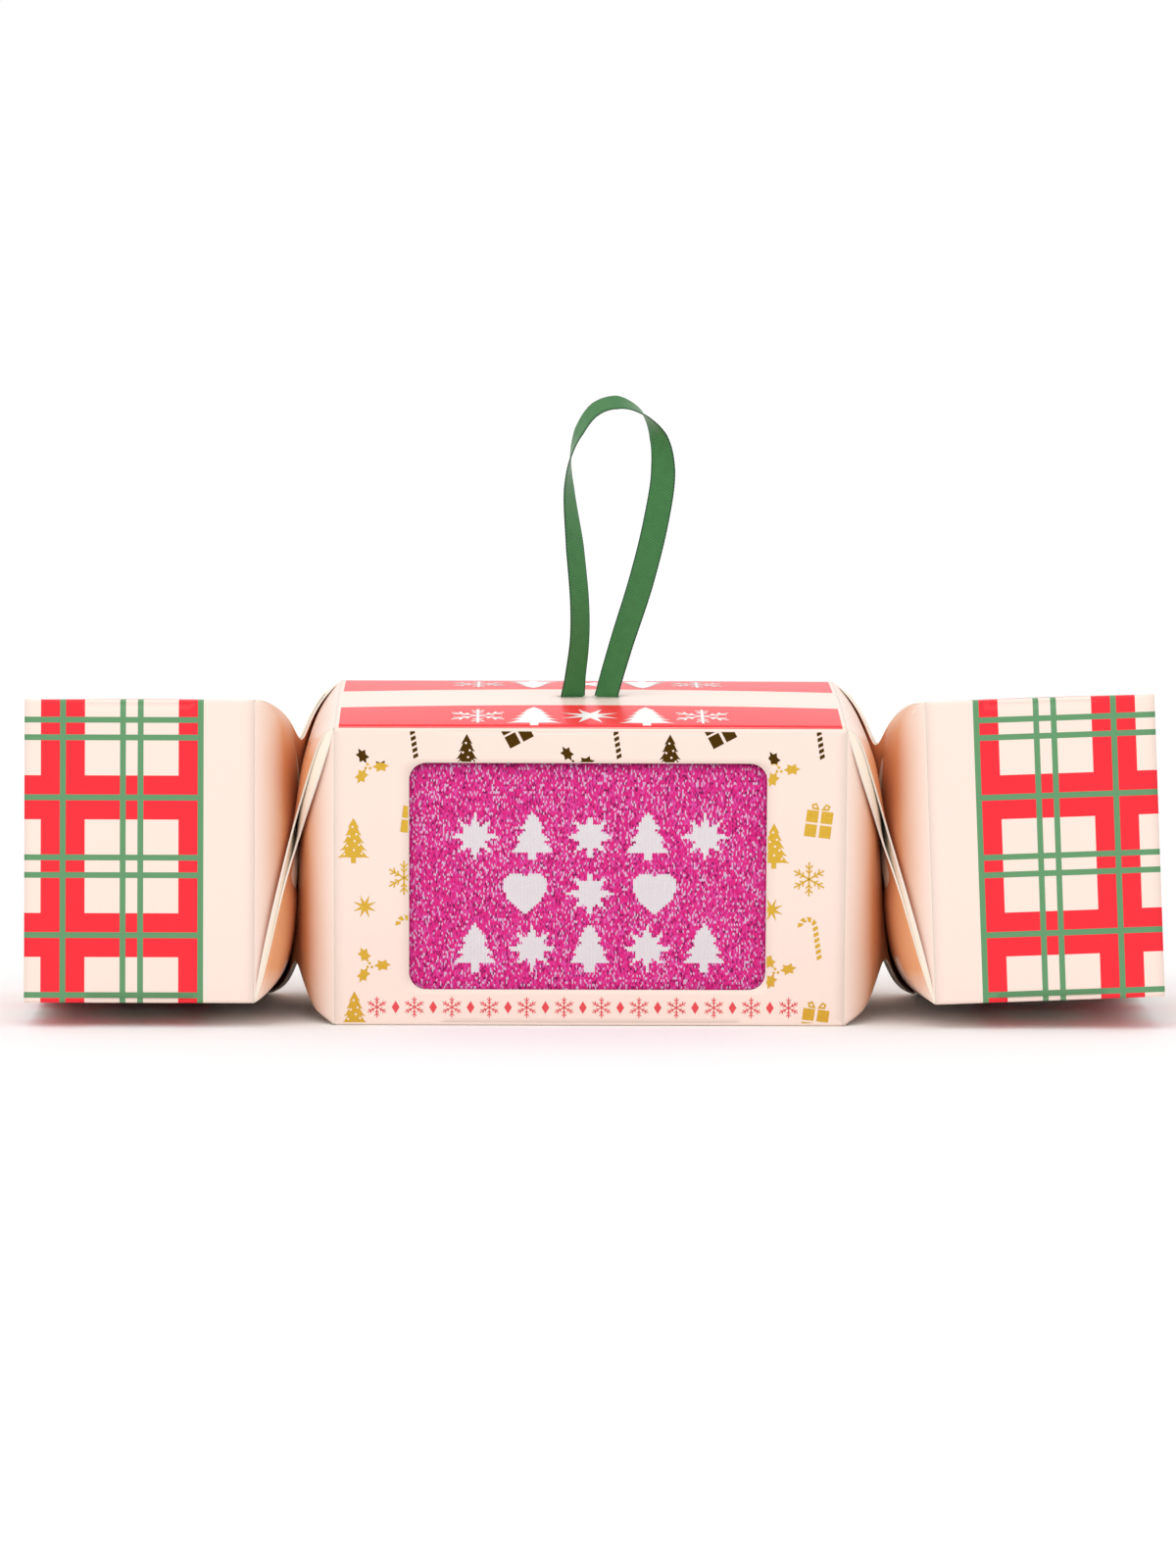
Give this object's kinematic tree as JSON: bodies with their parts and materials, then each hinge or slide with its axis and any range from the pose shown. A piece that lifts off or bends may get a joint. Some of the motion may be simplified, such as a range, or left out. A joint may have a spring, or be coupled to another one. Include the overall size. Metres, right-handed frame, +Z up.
{
  "type": "christmas cracker gift carton",
  "caption": "Cracker-shaped folding gift carton with twisted square necks, tuck-in end lids, a front window showing folded knitted socks, and a ribbon hanging loop.",
  "frame": {"origin": "on the floor under the middle of the three tubes, at the bottom centre of the carton without its ribbon", "axes": "+X along the carton from its left end to its right end, -Y towards the window side, +Z up"},
  "size_m": [0.2638, 0.0754, 0.1444],
  "materials": {
    "printed_board": "semi-gloss printed folding boxboard",
    "neck_board": "semi-gloss printed folding boxboard, creased",
    "raw_board": "uncoated reverse of folding boxboard",
    "sock_knit": "fine rib knit with glitter yarn",
    "satin_ribbon": "woven satin"
  },
  "bodies": {
    "centre": {"centre_sleeve": "printed_board", "sock_front": "sock_knit", "sock_back": "sock_knit", "ribbon_knot": "satin_ribbon", "ribbon_loop": "satin_ribbon", "left_neck_web_back": "neck_board", "left_neck_web_top": "neck_board", "left_neck_web_front": "neck_board", "left_neck_web_bottom": "neck_board", "right_neck_web_back": "neck_board", "right_neck_web_top": "neck_board", "right_neck_web_front": "neck_board", "right_neck_web_bottom": "neck_board"},
    "left_end": {"left_end_sleeve": "printed_board"},
    "left_lid": {"left_end_lid": "printed_board"},
    "left_flap_front": {"left_dust_flap_front": "raw_board"},
    "left_flap_back": {"left_dust_flap_back": "raw_board"},
    "right_end": {"right_end_sleeve": "printed_board"},
    "right_lid": {"right_end_lid": "printed_board"},
    "right_flap_front": {"right_dust_flap_front": "raw_board"},
    "right_flap_back": {"right_dust_flap_back": "raw_board"}
  },
  "joints": [
    {"name": "left_end_twist", "type": "hinge", "parent": "centre", "child": "left_end", "pos_m": [-0.07885, 0, 0.03774], "axis": [1, 0, 0], "range_deg": [-80, 0], "deforming": ["left_neck_web_back", "left_neck_web_top", "left_neck_web_front", "left_neck_web_bottom"]},
    {"name": "right_end_twist", "type": "hinge", "parent": "centre", "child": "right_end", "pos_m": [0.07745, 0, 0.03774], "axis": [0.9993, 0, 0.0384], "range_deg": [-80, 0], "deforming": ["right_neck_web_back", "right_neck_web_top", "right_neck_web_front", "right_neck_web_bottom"]},
    {"name": "left_lid_opening", "type": "hinge", "parent": "left_end", "child": "left_lid", "pos_m": [-0.13185, 0.00287, 0.07187], "axis": [0, 0.9965, -0.0837], "range_deg": [0, 120]},
    {"name": "left_front_flap_folding", "type": "hinge", "parent": "left_end", "child": "left_flap_front", "pos_m": [-0.13065, -0.03413, 0.04061], "axis": [0, -0.0837, -0.9965], "range_deg": [0, 80]},
    {"name": "left_back_flap_folding", "type": "hinge", "parent": "left_end", "child": "left_flap_back", "pos_m": [-0.13065, 0.03413, 0.03487], "axis": [0, 0.0837, 0.9965], "range_deg": [0, 80]},
    {"name": "right_lid_opening", "type": "hinge", "parent": "right_end", "child": "right_lid", "pos_m": [0.1291, 0.00287, 0.07388], "axis": [-0.0032, -0.9965, 0.0836], "range_deg": [0, 120]},
    {"name": "right_front_flap_folding", "type": "hinge", "parent": "right_end", "child": "right_flap_front", "pos_m": [0.1291, -0.03413, 0.04259], "axis": [-0.0383, 0.0837, 0.9958], "range_deg": [0, 80]},
    {"name": "right_back_flap_folding", "type": "hinge", "parent": "right_end", "child": "right_flap_back", "pos_m": [0.12932, 0.03413, 0.03687], "axis": [0.0383, -0.0837, -0.9958], "range_deg": [0, 80]}
  ]
}
